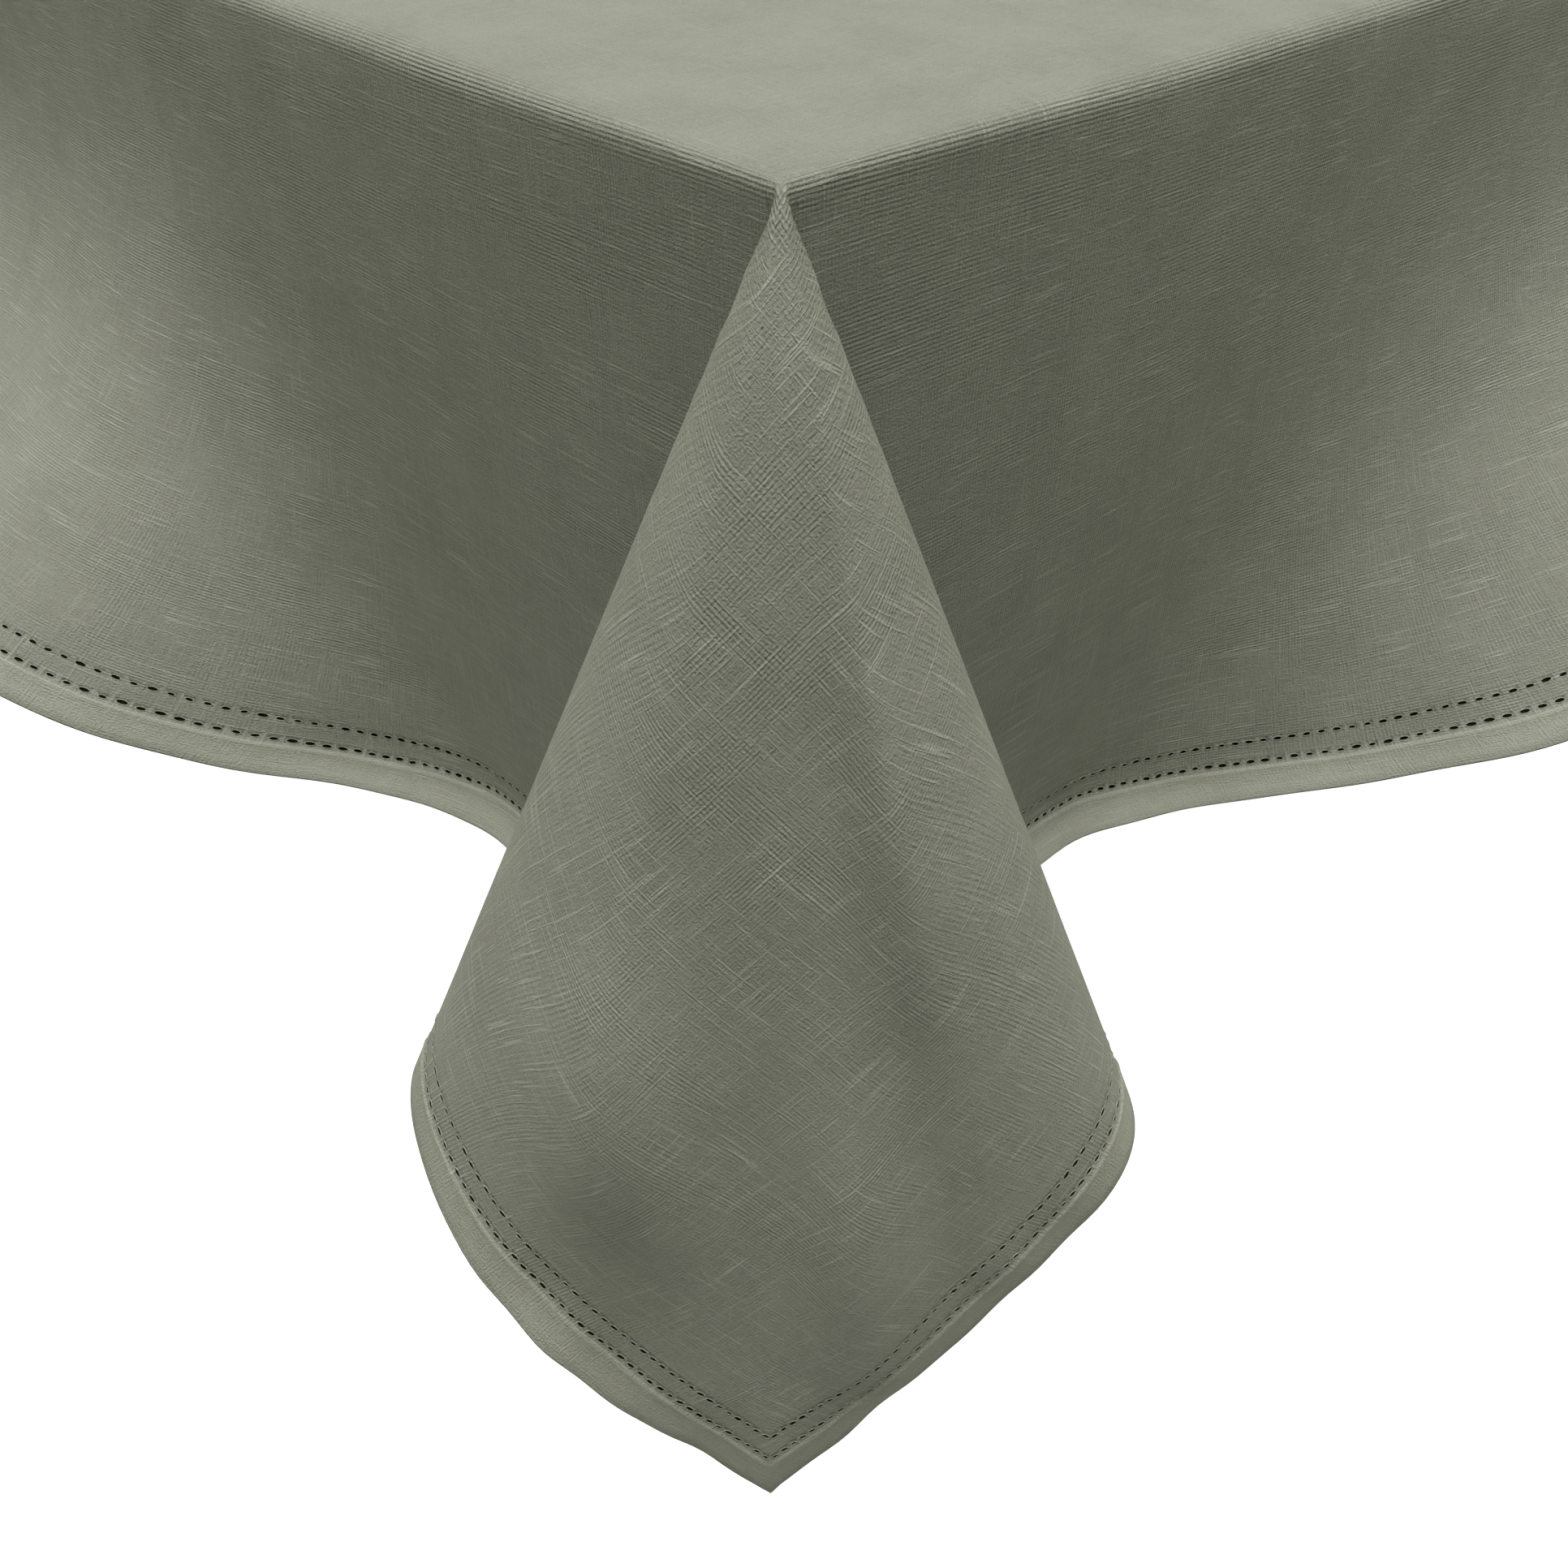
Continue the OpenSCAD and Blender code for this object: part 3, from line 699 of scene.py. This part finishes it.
def moulded(name):
    """Black nylon with a fine moulded grain."""
    n = Nodes(name)
    at = n.node("TexCoord").outputs["Object"]
    speckle = n.noise(n.scaled(at, (900, 900, 900)), 3.0)
    n.put(n.shader.inputs["Base Color"], n.mix(speckle, (0.018, 0.018, 0.018, 1), (0.035, 0.035, 0.035, 1)))
    n.put(n.shader.inputs["Roughness"], n.between(speckle, 0.3, 0.7, 0.45, 0.65))
    n.bump(speckle, 0.0001, 0.4)
    return n.material


cloth.data.materials.append(linen("linen"))
# The hem is the same linen painted a quarter lighter, painted light that makes the folded hem look brighter,
# with fainter slubs.
cloth.data.materials.append(linen("linen_hem_painted_lighter", 1.25, 0.4))
# The third material is painted shade for the holes' pits.
cloth.data.materials.append(shade("painted_hole_shade"))
thread.data.materials.append(linen("thread_linen", 1.15))

finishes = {"wood": oak("oak"), "steel": metal("zinc_steel"), "nylon": moulded("nylon")}
slots = {s["node"]: s["material_slot"] for s in frame["record"]["subparts"]}
cloth_nodes, thread_nodes = [], []
for node, obj in frame["nodes"].items():
    slot = slots[node]
    if slot in finishes:
        for held in obj.material_slots:
            held.material = finishes[slot]
    else:
        (thread_nodes if slot == "thread" else cloth_nodes).append(node)

# ---- What moves with what ----

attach(cloth, "tablecloth")
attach(thread, "tablecloth")
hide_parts(*cloth_nodes)
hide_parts(*thread_nodes)

# ---- Camera, floor and light ----

VIEW_FROM = 0.333  # from the table's corner to the camera, level
VIEW_ABOVE = 0.106  # the camera over the cloth
TILT = math.radians(40)
YAW = 0.0016
LENS, SENSOR = 33.62, 36.0  # millimetres
TO_VIEWER = Vector((0.7385, -0.6743, 0)).normalized()  # level, from the corner to the camera
TO_RIGHT = Vector((0.6743, 0.7385, 0)).normalized()
KEY_ROUND = 60  # the two key lights stand this many degrees to the sides of the camera
KEY_TILT = math.radians(14)  # and this far off the vertical
KEY_POWER, KEY_SIZE = 1.89, 50  # the size is an angle in degrees
WORLD_COLOUR, WORLD_STRENGTH = (0.97, 1.0, 0.60, 1), 0.10
FLOOR_SIZE, BACKDROP_RADIUS = 60, 29


def aim_camera():
    """Puts the camera over the front right corner, looking back and down at it."""
    ahead = TO_RIGHT * math.sin(YAW) - TO_VIEWER * math.cos(YAW)
    look = ahead * math.cos(TILT) - Vector((0, 0, 1)) * math.sin(TILT)
    data = bpy.data.cameras.new("camera")
    data.lens, data.sensor_width, data.clip_start = LENS, SENSOR, 0.01
    camera = bpy.data.objects.new("camera", data)
    bpy.context.scene.collection.objects.link(camera)
    camera.location = Vector((TABLE_X, -TABLE_Y, CLOTH_Z + VIEW_ABOVE)) + TO_VIEWER * VIEW_FROM
    camera.rotation_mode = "QUATERNION"
    camera.rotation_quaternion = look.to_track_quat("-Z", "Y")
    bpy.context.scene.camera = camera


def white_stage(name):
    """Makes the newest object a plain white surface that only the camera sees."""
    made = bpy.context.object
    made.name = name
    n = Nodes(name)
    n.shader.inputs["Base Color"].default_value = (0.8, 0.8, 0.8, 1)
    n.shader.inputs["Roughness"].default_value = 1.0
    n.shader.inputs["Specular IOR Level"].default_value = 0.0
    n.shader.inputs["Emission Color"].default_value = (1, 1, 1, 1)
    n.shader.inputs["Emission Strength"].default_value = 1.0
    made.data.materials.append(n.material)
    made.visible_diffuse = False
    made.visible_shadow = False


def sun(name, from_direction):
    """A broad soft light."""
    data = bpy.data.lights.new(name, "SUN")
    data.energy, data.angle = KEY_POWER, math.radians(KEY_SIZE)
    lamp = bpy.data.objects.new(name, data)
    bpy.context.scene.collection.objects.link(lamp)
    lamp.rotation_mode = "QUATERNION"
    lamp.rotation_quaternion = Vector(from_direction).to_track_quat("Z", "Y")


aim_camera()
bpy.ops.mesh.primitive_plane_add(size=FLOOR_SIZE, location=(0, 0, 0))
white_stage("floor")
bpy.ops.mesh.primitive_uv_sphere_add(radius=BACKDROP_RADIUS, segments=48, ring_count=24)
white_stage("backdrop")
world = bpy.data.worlds.new("studio")
world.use_nodes = True
world.node_tree.nodes["Background"].inputs[0].default_value = WORLD_COLOUR
world.node_tree.nodes["Background"].inputs[1].default_value = WORLD_STRENGTH
bpy.context.scene.world = world
for side in (-1, 1):
    around = math.radians(KEY_ROUND) * side
    level = TO_VIEWER * math.cos(around) + TO_RIGHT * math.sin(around)
    sun("key", level * math.sin(KEY_TILT) + Vector((0, 0, 1)) * math.cos(KEY_TILT))
bpy.context.scene.view_settings.view_transform = "Standard"
